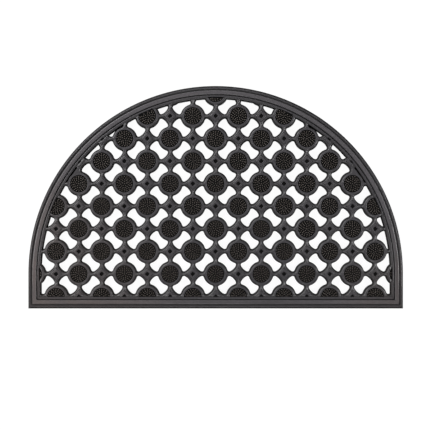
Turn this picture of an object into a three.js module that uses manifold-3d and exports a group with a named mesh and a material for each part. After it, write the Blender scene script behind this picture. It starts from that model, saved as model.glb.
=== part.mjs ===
// Half round rubber doormat, moulded in one piece: a ridged border round an openwork web of discs and stars.
// Millimetres. +X runs along the straight edge, +Y toward the round side and +Z up.
// The origin is on the floor, under the middle of the mat's outer box.

import * as THREE from "three";
import { mergeVertices } from "three/addons/utils/BufferGeometryUtils.js";
import Module from "manifold-3d";

// Outline: a half circle with a short straight side under each end
const MAT_WIDTH = 750;
const MAT_DEPTH = 445.5;
const CORNER_FLAT = 1.8; // the two bottom corners are almost sharp
const ROUND_SEGMENTS = 40;

// Border, from the floor at the outer edge inward to the top of the web
const WEB_TOP = 9;
const BORDER_PROFILE = [
  { place: "foot of the outer wall", inset: 0, height: 0 },
  { place: "outer lip, outer edge", inset: 4.7, height: 8.7 },
  { place: "outer lip, inner edge", inset: 6.4, height: 8.7 },
  { place: "outer groove", inset: 8.6, height: 7.1 },
  { place: "wide band, outer edge", inset: 10.5, height: 10 },
  { place: "wide band, inner edge", inset: 16.4, height: 10 },
  { place: "middle groove", inset: 18.7, height: 6.7 },
  { place: "inner ridge, outer edge", inset: 21, height: 9 },
  { place: "inner ridge, inner edge", inset: 23, height: 9 },
  { place: "dip inside the inner ridge", inset: 24.9, height: 7.7 },
  { place: "edge of the web", inset: 26.6, height: WEB_TOP },
];

// Web: discs and stars take turns on a grid that is nearly square
const COLUMN_PITCH = 45.42;
const ROW_PITCH = 44.97;
const FIRST_ROW = 24.7; // from the straight edge to the first row's centres
const COLUMNS_EACH_SIDE = 8;
const ROWS = 10;

// Holes between two stars and two discs
const DISC_CLEARANCE = 24.75; // radius of the hole's edge round a disc's centre
const STAR_EDGE_RADIUS = 24; // radius of the star's hollow side
const STAR_EDGE_SHIFT = 5.85; // that arc's centre lies this far past the hole's centre
const HOLE_FILLET = 3.6;
const HOLE_DRAFT = 3.6; // how far a hole's edge steps back from the floor to the web's top
const HOLE_BORDER_INSET = 26.9; // where the round border cuts a hole short, on the floor
const HOLE_STRAIGHT_INSET = 28.6; // where the straight border does
const HOLE_BORDER_DRAFT = 4; // there the border slopes down to the floor without a ledge
const SMALLEST_HOLE = 165; // mean section in square millimetres; a smaller corner is only a blind slit
const SLIT_INSET = 26; // a slit runs along the border, and reaches this far in
const SLIT_FLOOR = 2.5;

// Sunken places in the web
const PIN_FIELD_RADIUS = 17.3;
const PIN_FIELD_SIDES = 12;
const PIN_FIELD_FLOOR = 4;
const PIT_HALF_DIAGONAL = 5;
const PIT_SIDES = 4;
const PIT_FLOOR = 5;
const SUNK_BORDER_INSET = 22.6; // where the round border cuts a sunken place short
const SUNK_STRAIGHT_INSET = 23.8; // where the straight border does
const SUNK_DRAFT = 0.5;
const SMALLEST_SUNK_PLACE = 12; // mean section in square millimetres

const CUT_MARGIN = 1; // cutters run past the faces that they open

const wasm = await Module();
wasm.setup();

function polar(centre, radius, angle) {
  return new THREE.Vector2(centre.x + radius * Math.cos(angle), centre.y + radius * Math.sin(angle));
}

// The mat's outline, moved inward, counter-clockwise from its bottom left corner.
function insetOutline(inset, straightInset = inset) {
  const side = MAT_WIDTH / 2 - inset;
  const bottom = -MAT_DEPTH / 2 + straightInset;
  const roundCentre = new THREE.Vector2(0, MAT_DEPTH / 2 - MAT_WIDTH / 2);
  const points = [
    new THREE.Vector2(-side, bottom + CORNER_FLAT),
    new THREE.Vector2(-side + CORNER_FLAT, bottom),
    new THREE.Vector2(side - CORNER_FLAT, bottom),
    new THREE.Vector2(side, bottom + CORNER_FLAT),
  ];
  for (let i = 0; i <= ROUND_SEGMENTS; i++) {
    points.push(polar(roundCentre, side, (Math.PI * i) / ROUND_SEGMENTS));
  }
  return points;
}

// A closed body through rings of equally many points, lowest first, each { outline, height }.
function loft(rings) {
  const count = rings[0].outline.length;
  const positions = rings.flatMap(({ outline, height }) => outline.flatMap((p) => [p.x, p.y, height]));
  const faces = [];
  for (let r = 0; r + 1 < rings.length; r++) {
    for (let i = 0; i < count; i++) {
      const low = r * count + i;
      const lowNext = r * count + ((i + 1) % count);
      faces.push(low, lowNext, lowNext + count, low, lowNext + count, low + count);
    }
  }
  const top = rings.length - 1;
  for (const [a, b, c] of THREE.ShapeUtils.triangulateShape(rings[0].outline, [])) {
    faces.push(c, b, a);
  }
  for (const [a, b, c] of THREE.ShapeUtils.triangulateShape(rings[top].outline, [])) {
    faces.push(top * count + a, top * count + b, top * count + c);
  }
  const geometry = new THREE.BufferGeometry();
  geometry.setAttribute("position", new THREE.Float32BufferAttribute(positions, 3));
  geometry.setIndex(faces);
  return geometry;
}

function solidOf(geometry) {
  const merged = mergeVertices(geometry);
  return new wasm.Manifold(
    new wasm.Mesh({
      numProp: 3,
      vertProperties: new Float32Array(merged.attributes.position.array),
      triVerts: new Uint32Array(merged.index.array),
    }),
  );
}

function geometryOf(solid) {
  const mesh = solid.getMesh();
  const geometry = new THREE.BufferGeometry();
  geometry.setAttribute("position", new THREE.BufferAttribute(mesh.vertProperties, mesh.numProp));
  geometry.setIndex(new THREE.BufferAttribute(mesh.triVerts, 1));
  const faceted = geometry.toNonIndexed();
  faceted.computeVertexNormals();
  return faceted;
}

// Radius for a faceted arc: its corners lie as far outside the arc as its sides dip inside.
function fairRadius(radius, halfStep) {
  return (2 * radius) / (1 + Math.cos(halfStep));
}

// Where two circles cross, on the right of the line from the first centre to the second.
function circleCrossing(centreA, radiusA, centreB, radiusB) {
  const distance = centreA.distanceTo(centreB);
  const along = (distance ** 2 + radiusA ** 2 - radiusB ** 2) / (2 * distance);
  const turn = Math.acos(along / radiusA);
  return polar(centreA, radiusA, centreB.clone().sub(centreA).angle() - turn);
}

// A hole's outline on the floor, about its own centre, with stars on either side along x and discs along y.
function holeOutline() {
  const discCentre = new THREE.Vector2(0, Math.hypot(COLUMN_PITCH, ROW_PITCH) / 2);
  const starArcCentre = new THREE.Vector2(-STAR_EDGE_SHIFT, 0);
  const filletCentre = circleCrossing(
    starArcCentre,
    STAR_EDGE_RADIUS - HOLE_FILLET,
    discCentre,
    DISC_CLEARANCE + HOLE_FILLET,
  );
  const fromStar = filletCentre.clone().sub(starArcCentre).angle();
  const toDisc = discCentre.clone().sub(filletCentre).angle();
  const span = toDisc - fromStar;
  const filletReach = fairRadius(HOLE_FILLET, span / 4);
  const discSideTurn = Math.atan2(filletCentre.x, discCentre.y - filletCentre.y);
  const tip = new THREE.Vector2(fairRadius(STAR_EDGE_RADIUS, fromStar / 2) - STAR_EDGE_SHIFT, 0);
  const starCorner = polar(filletCentre, filletReach, fromStar + span / 4);
  const discCorner = polar(filletCentre, filletReach, fromStar + (3 * span) / 4);
  const waist = new THREE.Vector2(0, discCentre.y - fairRadius(DISC_CLEARANCE, discSideTurn / 2));
  const mirrored = (p) => new THREE.Vector2(-p.x, p.y);
  const half = [tip, starCorner, discCorner, waist, mirrored(discCorner), mirrored(starCorner)];
  return [...half, ...half.map((p) => p.clone().negate())];
}

// Each side of a counter-clockwise outline moved outward by the same distance.
function widened(outline, distance) {
  const normals = outline.map((p, i) => {
    const side = outline[(i + 1) % outline.length].clone().sub(p).normalize();
    return new THREE.Vector2(side.y, -side.x);
  });
  return outline.map((p, i) => {
    const before = normals[(i + outline.length - 1) % outline.length];
    const after = normals[i];
    const reach = distance / (1 + before.dot(after));
    return p.clone().addScaledVector(before, reach).addScaledVector(after, reach);
  });
}

function placed(outline, centre, turn) {
  const origin = new THREE.Vector2();
  return outline.map((p) => p.clone().rotateAround(origin, turn).add(centre));
}

function gridPoint(column, row) {
  return new THREE.Vector2(column * COLUMN_PITCH, FIRST_ROW - MAT_DEPTH / 2 + row * ROW_PITCH);
}

function holeCutter(column, row) {
  const centre = gridPoint(column + 0.5, row + 0.5);
  const starAtLowerLeft = (column + row) % 2 === 0;
  const turn = starAtLowerLeft ? Math.PI / 4 : -Math.PI / 4;
  const onFloor = placed(holeOutline(), centre, turn);
  const ringAt = (height) => ({ outline: widened(onFloor, (HOLE_DRAFT * height) / WEB_TOP), height });
  return solidOf(loft([ringAt(-CUT_MARGIN), ringAt(WEB_TOP + CUT_MARGIN)]));
}

function polygon(radius, sides) {
  return Array.from({ length: sides }, (_, i) => polar({ x: 0, y: 0 }, radius, (2 * Math.PI * i) / sides));
}

// A sunken place with a flat floor and walls that lean outward a little.
function sunkCutter(centre, radius, sides, floor) {
  const lean = (SUNK_DRAFT * (WEB_TOP + CUT_MARGIN - floor)) / (WEB_TOP - floor);
  return solidOf(
    loft([
      { outline: placed(polygon(radius, sides), centre, 0), height: floor },
      { outline: placed(polygon(radius + lean, sides), centre, 0), height: WEB_TOP + CUT_MARGIN },
    ]),
  );
}

// The space inside the border that holes and sunken places may take, taller than their cutters.
function spaceInside(inset, straightInset, draft) {
  const ringAt = (height) => {
    const step = (draft * height) / WEB_TOP;
    return { outline: insetOutline(inset - step, straightInset - step), height };
  };
  return solidOf(loft([ringAt(-2 * CUT_MARGIN), ringAt(WEB_TOP + 2 * CUT_MARGIN)]));
}

// What stays filled of a corner that is too small for a hole: all of it but a slit beside the border.
function slitFilling() {
  const onFloor = insetOutline(0);
  const foot = loft([
    { outline: onFloor, height: -2 * CUT_MARGIN },
    { outline: onFloor, height: SLIT_FLOOR },
  ]);
  return spaceInside(SLIT_INSET, SLIT_INSET, 0).add(solidOf(foot));
}

// Area of a cutter's section, averaged from its floor to its top.
function meanSection(cutter, floor) {
  return cutter.volume() / (WEB_TOP + CUT_MARGIN - floor);
}

function makeMat() {
  const blank = BORDER_PROFILE.map(({ inset, height }) => ({ outline: insetOutline(inset), height }));
  let mat = solidOf(loft(blank));
  const holeSpace = spaceInside(HOLE_BORDER_INSET, HOLE_STRAIGHT_INSET, HOLE_BORDER_DRAFT);
  const sunkSpace = spaceInside(SUNK_BORDER_INSET, SUNK_STRAIGHT_INSET, 0);
  const filling = slitFilling();
  const pinFieldVertexRadius = fairRadius(PIN_FIELD_RADIUS, Math.PI / PIN_FIELD_SIDES);
  for (let row = 0; row < ROWS; row++) {
    for (let column = -COLUMNS_EACH_SIDE - 1; column <= COLUMNS_EACH_SIDE; column++) {
      const hole = holeCutter(column, row).intersect(holeSpace);
      const isOpen = meanSection(hole, -CUT_MARGIN) > SMALLEST_HOLE;
      mat = mat.subtract(isOpen ? hole : hole.subtract(filling));
      const centre = gridPoint(column, row);
      const isStar = (column + row) % 2 === 0;
      const sunk = isStar
        ? sunkCutter(centre, PIT_HALF_DIAGONAL, PIT_SIDES, PIT_FLOOR)
        : sunkCutter(centre, pinFieldVertexRadius, PIN_FIELD_SIDES, PIN_FIELD_FLOOR);
      const sunkInside = sunk.intersect(sunkSpace);
      const floor = isStar ? PIT_FLOOR : PIN_FIELD_FLOOR;
      if (meanSection(sunkInside, floor) > SMALLEST_SUNK_PLACE) mat = mat.subtract(sunkInside);
    }
  }
  const rubber = new THREE.MeshStandardMaterial({ color: 0x4a484a, roughness: 0.75, metalness: 0 });
  const mesh = new THREE.Mesh(geometryOf(mat), rubber);
  mesh.name = "mat";
  return mesh;
}

const doormat = new THREE.Group();
doormat.name = "half_round_doormat";
doormat.add(makeMat());

export default doormat;
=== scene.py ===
import math
import random

import bmesh
import bpy
from mathutils import Matrix, Vector


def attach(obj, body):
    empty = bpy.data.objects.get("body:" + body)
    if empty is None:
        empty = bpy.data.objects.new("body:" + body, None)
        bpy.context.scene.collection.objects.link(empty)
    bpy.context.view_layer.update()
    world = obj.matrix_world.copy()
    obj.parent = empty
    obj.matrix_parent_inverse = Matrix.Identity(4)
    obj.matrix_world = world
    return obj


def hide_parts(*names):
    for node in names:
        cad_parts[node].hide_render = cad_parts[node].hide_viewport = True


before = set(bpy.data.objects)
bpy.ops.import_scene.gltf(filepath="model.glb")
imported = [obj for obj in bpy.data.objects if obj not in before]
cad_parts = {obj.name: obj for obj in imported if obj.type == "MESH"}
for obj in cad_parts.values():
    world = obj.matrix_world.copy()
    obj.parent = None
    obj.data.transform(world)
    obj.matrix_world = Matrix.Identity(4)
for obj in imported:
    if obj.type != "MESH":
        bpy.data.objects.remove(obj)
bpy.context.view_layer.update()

# A half round doormat, pressed from one charge of black rubber: a ridged border round an openwork web
# of round discs and four-pointed stars. Each disc is a sunken field of short rubber pins, and each star
# has a blind pit in its middle. The mat is shaped as its mould shapes it: a blank with the border's
# profile, out of which cores leave the holes, the pin fields, the pits and the grooves.
# Shapes are worked out in millimetres and brought to metres when a piece is done. The camera and the
# studio are in metres. The origin is on the floor under the middle of the mat, and its straight edge
# faces -Y.
MM = 0.001
UP = Vector((0, 0, 1))

# Points closer than this are one point
DOUBLES = 0.01

# Outline
MAT_WIDTH = 750
MAT_DEPTH = 445.5
RIGHT = MAT_WIDTH / 2
BOTTOM = -MAT_DEPTH / 2
ROUND_RADIUS = RIGHT
ROUND_CENTRE = Vector((0, MAT_DEPTH / 2 - ROUND_RADIUS, 0))
ROUND_STEPS = 108

# Border, from the foot of its outer wall to the web: lip, groove, flat band, groove and inner ridge
BORDER = [
    # inset, height
    (0.0, 0.0),
    (0.3, 0.8),
    (3.7, 7.3),
    (4.2, 8.2),
    (4.6, 8.7),
    (5.1, 8.9),
    (5.8, 8.7),
    (6.6, 8.2),
    (7.4, 7.6),
    (8.1, 7.2),
    (9.0, 7.1),
    (9.5, 7.6),
    (10.1, 8.9),
    (10.5, 9.5),
    (11.2, 9.9),
    (12.0, 10.0),
    (13.0, 10.0),
    (14.2, 9.8),
    (15.4, 10.0),
    (16.1, 10.0),
    (16.8, 9.8),
    (17.3, 9.2),
    (17.7, 8.3),
    (18.3, 7.1),
    (19.0, 6.9),
    (19.5, 7.4),
    (20.0, 8.2),
    (20.4, 8.7),
    (20.9, 9.0),
    (21.9, 9.0),
    (22.9, 8.65),
    (23.9, 8.15),
    (25.2, 7.7),
    (25.8, 7.9),
    (26.4, 8.5),
    (27.0, 9.0),
]
WEB_TOP = 9

# Web
COLUMN_PITCH = 45.42
ROW_PITCH = 44.97
CELL_DIAGONAL = math.hypot(COLUMN_PITCH, ROW_PITCH)
FIRST_ROW = BOTTOM + 24.7
COLUMNS_EACH_SIDE = 8
ROWS = 10

# A hole's edge on the floor, between two discs and two stars: the distance that it keeps from a disc's
# middle, the arc that bounds it at a star, how far that arc's middle is past the hole's own, and the
# rounding between the two. At the web's top the hole is wider by the whole slope of its walls.
DISC_CLEARANCE = 24.75
STAR_EDGE_RADIUS = 24.0
STAR_EDGE_SHIFT = 5.85
HOLE_FILLET = 3.6
HOLE_SLOPE = 5.2
STAR_EDGE_STEPS = 6
FILLET_STEPS = 5
DISC_EDGE_STEPS = 4

# Walls that the mould's cores leave, from the top down. A core starts over the web's top, to cut it
# cleanly. Its crest is how far it reaches from its own middle at that top.
OVER = 2
HOLE_WALL = [
    # inset from the hole's edge at the top, height
    (0, WEB_TOP + OVER),
    (0, 9),
    (0.7, 8.88),
    (1.3, 8.5),
    (1.9, 7.8),
    (2.5, 6.8),
    (3.3, 5.2),
    (HOLE_SLOPE, 0),
    (5.5, -1),
]
PIN_FIELD_CREST = 18.0
PIN_FIELD_SIDES = 48
PIN_FIELD_FLOOR = 4
PIN_FIELD_WALL = [
    # inset, height
    (0, WEB_TOP + OVER),
    (0, 9),
    (0.25, 8.9),
    (0.4, 8.6),
    (0.6, 4.5),
    (0.9, PIN_FIELD_FLOOR),
]
PIT_CREST = 4.15
PIT_ROUNDING = 1.6
PIT_WALL = [(0, WEB_TOP + OVER), (0, 9), (0.25, 8.9), (0.4, 8.6), (0.75, 5.4), (1.0, 5)]
GROOVE_CREST = 9.6
GROOVE_ROUNDING = 2.6
ROUNDING_STEPS = 3
GROOVE_WALL = [
    # inset, height
    (0, WEB_TOP + OVER),
    (0, 9),
    (0.35, 8.5),
    (0.65, 8.1),
    (1.0, 8.05),
    (1.5, 8.5),
    (2.2, 9),
    (2.2, WEB_TOP + OVER),
]

# Room inside the border that the cores keep to, with the insets from the mat's round and straight side
HOLE_BORDER_INSET = 23.2
HOLE_STRAIGHT_INSET = 24.9
HOLE_BORDER_WALL = [(0, 14), (0, 9), (0.5, 8.85), (0.9, 8.4), (1.4, 7.5), (3.7, 0), (4.2, -2)]
SUNK_BORDER_INSET = 22.4
SUNK_STRAIGHT_INSET = 23.6
SUNK_BORDER_WALL = [(0, 14), (0, 9), (0.2, 8.8), (0.4, 8.2), (0.8, 3), (0.9, 1)]

# A hole that the border leaves this small, in cubic millimetres, is only a blind slit beside the border,
# which reaches this far in from the outline
SMALLEST_HOLE = 2000
SLIT_INSET = 28.3
SLIT_WALL = [(0, 14), (0.4, -2)]
SLIT_FLOOR = 2.5

# Pins in a disc, in rings about its middle. A pin needs this much room to the mat's outline.
PIN_ROOM = 25.2
PIN_RINGS = [
    # ring radius, pins, turn of the first in degrees, how far that turn strays from disc to disc
    (0.0, 1, 0.0, 0.0),
    (4.2, 5, -54.0, 5.0),
    (7.8, 11, -41.6, 5.0),
    (11.2, 15, -12.0, 12.0),
    (14.5, 18, -10.0, 2.5),
]
PIN_FOOT = 1.15
PIN_TIP = 0.85
PIN_TOP = 8.5
PIN_ROUNDING = 0.2
PIN_ROUNDING_STEPS = 2
PIN_SIDES = 8
PIN_ROOT = 0.4
STRAY_SEED = 7


def look_from(elevation, distance, aim, lens):
    """The camera, on the straight edge's side, at an elevation in degrees above a point of the floor."""
    data = bpy.data.cameras.new("camera")
    data.lens = lens
    data.sensor_width = 36
    data.clip_end = 20
    camera = bpy.data.objects.new("camera", data)
    back = Vector((0, -math.cos(math.radians(elevation)), math.sin(math.radians(elevation))))
    camera.location = Vector(aim) + back * distance
    camera.rotation_euler = (math.radians(90 - elevation), 0, 0)
    bpy.context.scene.collection.objects.link(camera)
    bpy.context.scene.camera = camera


# Straight above the mat, a little off its middle
look_from(elevation=90, distance=1.5, aim=(-0.00135, -0.03556, 0), lens=62.71)


# Shapes


def spun(bm, start, centre, turn, steps):
    """Draws an arc from a vertex, round a centre on the same level, and gives the arc's last vertex."""
    arc = bmesh.ops.spin(bm, geom=[start], cent=centre, axis=UP, angle=turn, steps=steps)
    return next(v for v in arc["geom_last"] if isinstance(v, bmesh.types.BMVert))


def filled(bm):
    """Closes a mesh's loop of edges with one face."""
    return bmesh.ops.contextual_create(bm, geom=bm.edges[:])["faces"][0]


def walled(bm, face, wall, ring=False):
    """Carries a flat face through a wall's rows of inset and height, then closes the shape behind it.
    A ring comes back up to its own top, and stays open in its middle."""
    bmesh.ops.translate(bm, verts=face.verts, vec=UP * wall[0][1])
    for (inset, height), (next_inset, next_height) in zip(wall, wall[1:]):
        step = next_inset - inset
        bmesh.ops.inset_region(bm, faces=[face], thickness=step, use_boundary=True, use_even_offset=True)
        bmesh.ops.translate(bm, verts=face.verts, vec=UP * (next_height - height))
    if ring:
        bmesh.ops.delete(bm, geom=[face], context="FACES_ONLY")
        bmesh.ops.bridge_loops(bm, edges=[e for e in bm.edges if e.is_boundary])
    else:
        bmesh.ops.holes_fill(bm, edges=[e for e in bm.edges if e.is_boundary], sides=0)
    bmesh.ops.recalc_face_normals(bm, faces=bm.faces[:])


def mat_face(bm, inset, straight_inset):
    """The mat's outline, moved inward from its round side and from its straight side, as one flat face."""
    side = ROUND_RADIUS - inset
    bottom = BOTTOM + straight_inset
    right = bm.verts.new((side, ROUND_CENTRE.y, 0))
    left = spun(bm, right, ROUND_CENTRE, math.pi, ROUND_STEPS)
    corners = [bm.verts.new((x, bottom, 0)) for x in (-side, side)]
    for a, b in ((left, corners[0]), (corners[0], corners[1]), (corners[1], right)):
        bm.edges.new((a, b))
    return filled(bm)


def as_object(bm, name):
    """Makes an object of a mesh, which is used up."""
    mesh = bpy.data.meshes.new(name)
    bm.to_mesh(mesh)
    bm.free()
    shape = bpy.data.objects.new(name, mesh)
    bpy.context.scene.collection.objects.link(shape)
    return shape


def mat_shaped(name, inset, straight_inset, wall):
    """A solid with the mat's outline, moved inward, whose side follows a wall's rows."""
    bm = bmesh.new()
    walled(bm, mat_face(bm, inset, straight_inset), wall)
    return as_object(bm, name)


def grid_point(column, row):
    """The middle of a disc or star, on the floor."""
    return Vector((column * COLUMN_PITCH, FIRST_ROW + row * ROW_PITCH, 0))


def hole_core():
    """The core that leaves one hole, about its own centre, with stars along x and discs along y."""
    bm = bmesh.new()
    disc = Vector((0, CELL_DIAGONAL / 2, 0))
    star_arc = Vector((-STAR_EDGE_SHIFT, 0, 0))
    from_star = STAR_EDGE_RADIUS - HOLE_FILLET
    from_disc = DISC_CLEARANCE + HOLE_FILLET
    apart = disc - star_arc
    along = (apart.length**2 + from_star**2 - from_disc**2) / (2 * apart.length)
    star_turn = math.atan2(apart.y, apart.x) - math.acos(along / from_star)
    fillet = star_arc + from_star * Vector((math.cos(star_turn), math.sin(star_turn), 0))
    to_disc = disc - fillet
    fillet_turn = math.atan2(to_disc.y, to_disc.x) - star_turn
    disc_turn = math.atan2(fillet.x, disc.y - fillet.y)
    tip = bm.verts.new((STAR_EDGE_RADIUS - STAR_EDGE_SHIFT + HOLE_SLOPE, 0, 0))
    star_end = spun(bm, tip, star_arc, star_turn, STAR_EDGE_STEPS)
    fillet_end = spun(bm, star_end, fillet, fillet_turn, FILLET_STEPS)
    spun(bm, fillet_end, disc, -disc_turn, DISC_EDGE_STEPS)
    for axis in "XY":
        whole = bm.verts[:] + bm.edges[:]
        bmesh.ops.mirror(bm, geom=whole, matrix=Matrix.Identity(4), merge_dist=DOUBLES, axis=axis)
    walled(bm, filled(bm), HOLE_WALL)
    return bm


def pin_field_core():
    """The core that leaves a disc's sunken field, before its pins."""
    bm = bmesh.new()
    bmesh.ops.create_circle(bm, cap_ends=True, radius=PIN_FIELD_CREST, segments=PIN_FIELD_SIDES)
    walled(bm, bm.faces[:][0], PIN_FIELD_WALL)
    return bm


def diamond_face(bm, reach, rounding):
    """A square on its corner, whose sides are this far from its middle."""
    bmesh.ops.create_circle(bm, cap_ends=True, radius=reach * math.sqrt(2), segments=4)
    bmesh.ops.bevel(
        bm,
        geom=bm.verts[:],
        affect="VERTICES",
        offset=rounding,
        segments=ROUNDING_STEPS,
        profile=0.5,
        material=-1,
    )
    return bm.faces[:][0]


def pit_core():
    """The core that leaves the blind pit in a star's middle."""
    bm = bmesh.new()
    walled(bm, diamond_face(bm, PIT_CREST, PIT_ROUNDING), PIT_WALL)
    return bm


def groove_core():
    """The ring-shaped core that leaves the groove round a star's raised frame."""
    bm = bmesh.new()
    walled(bm, diamond_face(bm, GROOVE_CREST, GROOVE_ROUNDING), GROOVE_WALL, ring=True)
    return bm


def set_out(name, places):
    """One mesh with a copy of each core at each of its places; each row is a core and its matrices."""
    whole = bmesh.new()
    for core, matrices in places:
        single = bpy.data.meshes.new("single")
        core.to_mesh(single)
        core.free()
        for matrix in matrices:
            copy = single.copy()
            copy.transform(matrix)
            whole.from_mesh(copy)
            bpy.data.meshes.remove(copy)
        bpy.data.meshes.remove(single)
    return as_object(whole, name)


def carved(shape, tool, operation):
    """Cuts the tool out of a shape, or keeps only what the tool holds of it. The tool is used up."""
    step = shape.modifiers.new("carve", "BOOLEAN")
    step.operation = operation
    step.solver = "MANIFOLD"
    step.object = tool
    drawn = shape.evaluated_get(bpy.context.evaluated_depsgraph_get())
    mesh = bpy.data.meshes.new_from_object(drawn)
    shape.modifiers.clear()
    shape.data = mesh
    bpy.data.objects.remove(tool)


def bits_of(bm):
    """The vertices of each separate bit of a mesh."""
    left = set(bm.verts)
    while left:
        bit = {left.pop()}
        edge = list(bit)
        while edge:
            near = {e.other_vert(v) for v in edge for e in v.link_edges} - bit
            bit |= near
            edge = list(near)
        left -= bit
        yield bit


def volume(bit):
    """A closed bit's volume, in cubic millimetres."""
    bm = bmesh.new()
    copies = {v: bm.verts.new(v.co) for v in bit}
    for face in {f for v in bit for f in v.link_faces}:
        bm.faces.new([copies[v] for v in face.verts])
    size = abs(bm.calc_volume())
    bm.free()
    return size


def small_bits_taken(shape, smallest, floor):
    """Takes the bits under a volume out of a shape, and gives them as another shape, cut off at a floor."""
    small = bpy.data.objects.new("small_bits", shape.data.copy())
    bpy.context.scene.collection.objects.link(small)
    for part in (shape, small):
        bm = bmesh.new()
        bm.from_mesh(part.data)
        others = [v for bit in bits_of(bm) if (volume(bit) < smallest) == (part is shape) for v in bit]
        bmesh.ops.delete(bm, geom=others, context="VERTS")
        if part is small:
            whole = bm.verts[:] + bm.edges[:] + bm.faces[:]
            bmesh.ops.bisect_plane(bm, geom=whole, plane_co=UP * floor, plane_no=UP, clear_inner=True)
            bmesh.ops.holes_fill(bm, edges=[e for e in bm.edges if e.is_boundary], sides=0)
            bmesh.ops.recalc_face_normals(bm, faces=bm.faces[:])
        bm.to_mesh(part.data)
        bm.free()
    return small


def lattice():
    """The checkerboard's columns and rows, with some to spare past the mat's outline."""
    for row in range(ROWS):
        for column in range(-COLUMNS_EACH_SIDE - 1, COLUMNS_EACH_SIDE + 1):
            yield column, row


def moulded_mat():
    """The whole mat but its pins. The hole cores go in two sets, because those of one set don't touch."""
    holes = ([], [])
    discs = []
    stars = []
    for column, row in lattice():
        even = (column + row) % 2 == 0
        turn = Matrix.Rotation(math.radians(45 if even else -45), 4, "Z")
        holes[even].append(Matrix.Translation(grid_point(column + 0.5, row + 0.5)) @ turn)
        (stars if even else discs).append(Matrix.Translation(grid_point(column, row)))
    mat = mat_shaped("half_round_mat", 0, 0, BORDER)
    for places in holes:
        cores = set_out("hole_cores", [(hole_core(), places)])
        hole_space = mat_shaped("hole_space", HOLE_BORDER_INSET, HOLE_STRAIGHT_INSET, HOLE_BORDER_WALL)
        carved(cores, hole_space, "INTERSECT")
        corners = small_bits_taken(cores, SMALLEST_HOLE, SLIT_FLOOR)
        carved(corners, mat_shaped("corner_filling", SLIT_INSET, SLIT_INSET, SLIT_WALL), "DIFFERENCE")
        carved(mat, cores, "DIFFERENCE")
        carved(mat, corners, "DIFFERENCE")
    sunk = [(pin_field_core(), discs), (pit_core(), stars), (groove_core(), stars)]
    sunk_cores = set_out("sunk_cores", sunk)
    sunk_space = mat_shaped("sunk_space", SUNK_BORDER_INSET, SUNK_STRAIGHT_INSET, SUNK_BORDER_WALL)
    carved(sunk_cores, sunk_space, "INTERSECT")
    carved(mat, sunk_cores, "DIFFERENCE")
    return mat


def room_to_edge(point):
    """How far a point lies inside the mat's outline."""
    if point.y > ROUND_CENTRE.y:
        return ROUND_RADIUS - (point - ROUND_CENTRE).to_2d().length
    return min(ROUND_RADIUS - abs(point.x), point.y - BOTTOM)


def pin():
    """One pin, rooted a little in the floor of its field, slimmer and rounded at its tip."""
    bm = bmesh.new()
    foot = PIN_FIELD_FLOOR - PIN_ROOT
    bmesh.ops.create_cone(
        bm, cap_ends=True, segments=PIN_SIDES, radius1=PIN_FOOT, radius2=PIN_TIP, depth=PIN_TOP - foot
    )
    bmesh.ops.translate(bm, verts=bm.verts[:], vec=UP * (PIN_TOP + foot) / 2)
    rim = [e for e in bm.edges if all(v.co.z > PIN_TOP - DOUBLES for v in e.verts)]
    bmesh.ops.bevel(
        bm,
        geom=rim,
        affect="EDGES",
        offset=PIN_ROUNDING,
        segments=PIN_ROUNDING_STEPS,
        profile=0.5,
        material=-1,
        clamp_overlap=True,
    )
    return bm


def pins():
    """All the pins that find room inside the border, in rings about the middle of each disc."""
    places = []
    stray = random.Random(STRAY_SEED)
    for column, row in lattice():
        if (column + row) % 2 == 0:
            continue
        for radius, count, first, reach in PIN_RINGS:
            start = first + stray.uniform(-reach, reach)
            for i in range(count):
                turn = math.radians(start + 360 * i / count)
                place = grid_point(column, row) + radius * Vector((math.cos(turn), math.sin(turn), 0))
                if room_to_edge(place) > PIN_ROOM:
                    places.append(Matrix.Translation(place))
    return set_out("rubber_pins", [(pin(), places)])


def finished(shape, material, crease):
    """Merges a shape's doubles, brings it to metres, shades it and gives it its material."""
    bm = bmesh.new()
    bm.from_mesh(shape.data)
    bmesh.ops.remove_doubles(bm, verts=bm.verts[:], dist=DOUBLES)
    bmesh.ops.dissolve_degenerate(bm, edges=bm.edges[:], dist=DOUBLES)
    bmesh.ops.recalc_face_normals(bm, faces=bm.faces[:])
    bm.to_mesh(shape.data)
    bm.free()
    shape.data.transform(Matrix.Scale(MM, 4))
    shape.data.shade_smooth()
    shape.data.set_sharp_from_angle(angle=math.radians(crease))
    shape.data.materials.clear()
    shape.data.materials.append(material)


# Finishes

# Rubber's colour by height: worn grey on the band's top and charcoal on the crests of the web, with painted
# shade
# low down: the walls darker and the floors of the pin fields nearly black, where shade falls. The pins'
# tips are worn grey too, and their feet are painted nearly black as the shade between them.
TOP_HEIGHT = 10
MAT_WEAR_AND_PAINTED_SHADE = [
    # height, colour
    (3.8, "#252425"),
    (3.9, "#040404"),
    (4.1, "#040404"),
    (4.2, "#252425"),
    (5.2, "#252425"),
    (7.0, "#282728"),
    (8.2, "#343234"),
    (8.8, "#3e3c3f"),
    (9.2, "#3f3d40"),
    (9.7, "#504d50"),
]
# Pins: worn grey at the tips, and painted shade that blackens their feet
PIN_WEAR_AND_PAINTED_SHADE = [
    (4.0, "#030303"),
    (7.6, "#080707"),
    (8.3, "#625b56"),
]

# Patches, strongest on the highest places: a brown bloom at the two corners, such as old rubber gets, and
# painted shade, darker stretches at the bottom and low on the right where less light falls. A patch is at
# its full strength within the core's share of its reach and above the high mark. Below the low mark only a
# share of it is left.
BLOOM_COLOUR = "#8c7058"
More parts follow.
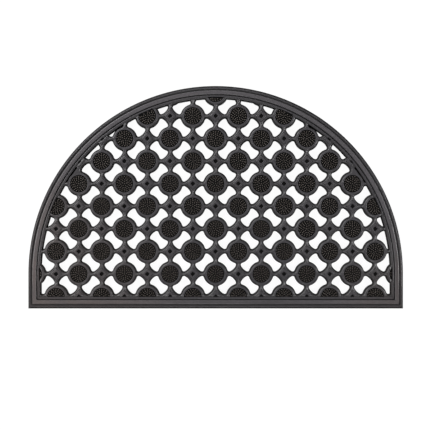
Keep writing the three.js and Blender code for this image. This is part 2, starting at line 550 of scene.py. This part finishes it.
# Near black, for the painted shade
PAINTED_SHADE_COLOUR = "#100f10"
PATCHES = [
    # x, y, reach, strength, colour
    (-RIGHT, BOTTOM, 360, 0.2, BLOOM_COLOUR),
    (RIGHT, BOTTOM, 170, 0.14, BLOOM_COLOUR),
    (50, BOTTOM, 230, 0.42, PAINTED_SHADE_COLOUR),
    (RIGHT, -130, 140, 0.5, PAINTED_SHADE_COLOUR),
]
PATCH_CORE = 0.3
PATCH_LOW = 8.5
PATCH_HIGH = 9.8
PATCH_LOW_SHARE = 0.25

# Sizes of the patterns, in millimetres: drifting wear a few centimetres across, mottling of a few
# millimetres, and the matt mould's grain. The real grain is about 0.2 mm, and is drawn coarser to show.
# The mottling lightens and darkens the colour by a share, over the range that a noise mostly has.
DRIFT_SIZE = 33.3
MOTTLE_SIZE = 4.55
GRAIN_SIZE = 0.91
MOTTLE = 0.12
NOISE_LOW = 0.3
NOISE_HIGH = 0.7
GRAIN_HEIGHT = 0.3
GRAIN_STRENGTH = 0.25

# Moulded rubber has a low, broad sheen. The pins are scuffed, and shine less.
RUBBER_IOR = 1.5
ROUGHNESS = 0.44
MAT_SHINE = 0.6
PIN_SHINE = 0.35

# Edges that turn by more than this, in degrees, stay sharp
MAT_CREASE = 45
PIN_CREASE = 60


def linear(hex_colour):
    """An sRGB hex colour as the linear red, green, blue and alpha that nodes take."""
    parts = [int(hex_colour[i : i + 2], 16) / 255 for i in (1, 3, 5)]
    return tuple(c / 12.92 if c <= 0.04045 else ((c + 0.055) / 1.055) ** 2.4 for c in parts) + (1,)


def add_node(tree, kind, settings=(), links=()):
    """Adds a node, sets its properties or sockets by name, and links sockets from other nodes' outputs.
    A socket whose name another one shares is given by its number."""
    made = tree.nodes.new(kind)
    for name, value in dict(settings).items():
        if isinstance(name, str) and hasattr(made, name):
            setattr(made, name, value)
        else:
            made.inputs[name].default_value = value
    for name, source in dict(links).items():
        tree.links.new(source, made.inputs[name])
    return made


def new_material(name):
    """An empty material and its node tree."""
    material = bpy.data.materials.new(name)
    material.use_nodes = True
    material.node_tree.nodes.clear()
    return material, material.node_tree


def pattern(tree, place, size, detail):
    """A noise whose patches are about a size in millimetres across."""
    settings = {"Scale": 1 / (size * MM), "Detail": detail}
    return add_node(tree, "ShaderNodeTexNoise", settings, {"Vector": place}).outputs["Fac"]


def shade_by_height(tree, height, shades):
    """The rubber's colour at a height, blended between the rows of its shades: worn grey up high and
    painted shade down low.
    """
    level = add_node(tree, "ShaderNodeMapRange", {"From Max": TOP_HEIGHT * MM}, {"Value": height})
    ramp = add_node(tree, "ShaderNodeValToRGB", {}, {"Fac": level.outputs["Result"]})
    stops = ramp.color_ramp.elements
    stops.remove(stops[0])
    for shade_height, colour in shades[1:]:
        stops.new(shade_height / TOP_HEIGHT)
    for stop, (shade_height, colour) in zip(stops, shades):
        stop.position = shade_height / TOP_HEIGHT
        stop.color = linear(colour)
    return ramp.outputs["Color"]


def patched(tree, place, height, drift, shaded):
    """Blends the patches, brown bloom and painted shade, over the rubber, broken up by its drifting wear
    and weaker on low places.
    """
    high = add_node(
        tree,
        "ShaderNodeMapRange",
        {"From Min": PATCH_LOW * MM, "From Max": PATCH_HIGH * MM, "To Min": PATCH_LOW_SHARE},
        {"Value": height},
    ).outputs["Result"]
    for x, y, reach, strength, colour in PATCHES:
        middle = (x * MM, y * MM, TOP_HEIGHT * MM)
        away = add_node(tree, "ShaderNodeVectorMath", {"operation": "DISTANCE", 1: middle}, {0: place})
        near = add_node(
            tree,
            "ShaderNodeMapRange",
            {
                "interpolation_type": "SMOOTHSTEP",
                "From Min": reach * MM,
                "From Max": PATCH_CORE * reach * MM,
                "To Max": strength,
            },
            {"Value": away.outputs["Value"]},
        ).outputs["Result"]
        times = {"operation": "MULTIPLY"}
        whole = add_node(tree, "ShaderNodeMath", times, {0: near, 1: high}).outputs["Value"]
        broken = add_node(tree, "ShaderNodeMath", times, {0: whole, 1: drift}).outputs["Value"]
        mix = {"data_type": "RGBA", 7: linear(colour)}
        shaded = add_node(tree, "ShaderNodeMix", mix, {0: broken, 6: shaded}).outputs[2]
    return shaded


def black_rubber(name, shades, shine):
    """Black rubber with carbon black in it, pressed in a matt mould. The eye sees charcoal on top, where it
    is worn, painted shade that makes every low place black, a mottled skin and a low sheen that the fine
    grain breaks up."""
    material, tree = new_material(name)
    place = add_node(tree, "ShaderNodeTexCoord").outputs["Object"]
    height = add_node(tree, "ShaderNodeSeparateXYZ", {}, {"Vector": place}).outputs["Z"]
    drift = pattern(tree, place, DRIFT_SIZE, 3)
    shaded = patched(tree, place, height, drift, shade_by_height(tree, height, shades))
    wear = add_node(
        tree,
        "ShaderNodeMapRange",
        {"From Min": NOISE_LOW, "From Max": NOISE_HIGH, "To Min": 1 - MOTTLE, "To Max": 1 + MOTTLE},
        {"Value": pattern(tree, place, MOTTLE_SIZE, 4)},
    ).outputs["Result"]
    mottled = add_node(tree, "ShaderNodeHueSaturation", {}, {"Color": shaded, "Value": wear})
    bump = add_node(
        tree,
        "ShaderNodeBump",
        {"Strength": GRAIN_STRENGTH, "Distance": GRAIN_HEIGHT * MM},
        {"Height": pattern(tree, place, GRAIN_SIZE, 2)},
    )
    shader = add_node(
        tree,
        "ShaderNodeBsdfPrincipled",
        {"Roughness": ROUGHNESS, "IOR": RUBBER_IOR, "Specular IOR Level": shine},
        {"Base Color": mottled.outputs["Color"], "Normal": bump.outputs["Normal"]},
    )
    add_node(tree, "ShaderNodeOutputMaterial", {}, {"Surface": shader.outputs["BSDF"]})
    return material


mat = moulded_mat()
finished(mat, black_rubber("moulded_black_rubber", MAT_WEAR_AND_PAINTED_SHADE, MAT_SHINE), MAT_CREASE)
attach(mat, "root")
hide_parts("mat")

pin_piece = pins()
finished(pin_piece, black_rubber("black_rubber_in_the_pin_fields", PIN_WEAR_AND_PAINTED_SHADE, PIN_SHINE), PIN_CREASE)
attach(pin_piece, "root")
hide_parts("mat")


# Studio, in metres and watts

FLOOR_REACH = 3
FLOOR_GREY = 0.1
FLOOR_GLOW = 0.95
BACKDROP_GLOW = 0.9

# Low lights all round the mat catch its crests and leave its pits and pin fields dark. The overhead one is
# weak, because its light would come back from the flat floors of those low places and grey them.
SOFTBOX_DISTANCE = 2.4
SOFTBOXES = [
    # name, azimuth, elevation, size, power
    ("key", 135, 20, 0.9, 44),
    ("left", 180, 20, 0.9, 40),
    ("right", 0, 15, 0.9, 56),
    ("front", 270, 20, 0.9, 31),
    ("back", 90, 20, 0.9, 15),
    ("overhead", 90, 90, 4.0, 7),
]


def backlit_acrylic():
    """A studio table of matt white acrylic, lit from below, so that it is white and even round the mat."""
    material, tree = new_material("backlit_white_acrylic")
    shader = add_node(
        tree,
        "ShaderNodeBsdfPrincipled",
        {
            "Base Color": (FLOOR_GREY, FLOOR_GREY, FLOOR_GREY, 1),
            "Roughness": 1.0,
            "Specular IOR Level": 0.0,
            "Emission Color": (1, 1, 1, 1),
            "Emission Strength": FLOOR_GLOW,
        },
    )
    add_node(tree, "ShaderNodeOutputMaterial", {}, {"Surface": shader.outputs["BSDF"]})
    return material


def studio_floor():
    """The floor is white to the eye, but doesn't light the mat's walls."""
    bm = bmesh.new()
    bmesh.ops.create_grid(bm, x_segments=1, y_segments=1, size=FLOOR_REACH)
    floor = as_object(bm, "studio_floor")
    floor.data.materials.append(backlit_acrylic())
    floor.visible_diffuse = False
    floor.visible_glossy = False


def softbox(name, azimuth, elevation, size, power):
    """A square light that faces the mat's middle from a direction in degrees."""
    data = bpy.data.lights.new(name, "AREA")
    data.shape = "RECTANGLE"
    data.size, data.size_y = size, size
    data.energy = power
    light = bpy.data.objects.new(name, data)
    turn, rise = math.radians(azimuth), math.radians(elevation)
    away = Vector((math.cos(rise) * math.cos(turn), math.cos(rise) * math.sin(turn), math.sin(rise)))
    light.location = SOFTBOX_DISTANCE * away
    light.rotation_euler = away.to_track_quat("Z", "Y").to_euler()
    bpy.context.scene.collection.objects.link(light)


def pale_backdrop():
    """A pale backdrop behind the floor's edge. It is seen, but lights nothing."""
    world = bpy.data.worlds.new("studio")
    world.use_nodes = True
    background = world.node_tree.nodes["Background"]
    background.inputs["Color"].default_value = (1, 1, 1, 1)
    background.inputs["Strength"].default_value = BACKDROP_GLOW
    world.cycles_visibility.diffuse = False
    world.cycles_visibility.glossy = False
    bpy.context.scene.world = world


studio_floor()
for row in SOFTBOXES:
    softbox(*row)
pale_backdrop()
bpy.context.scene.view_settings.view_transform = "Standard"
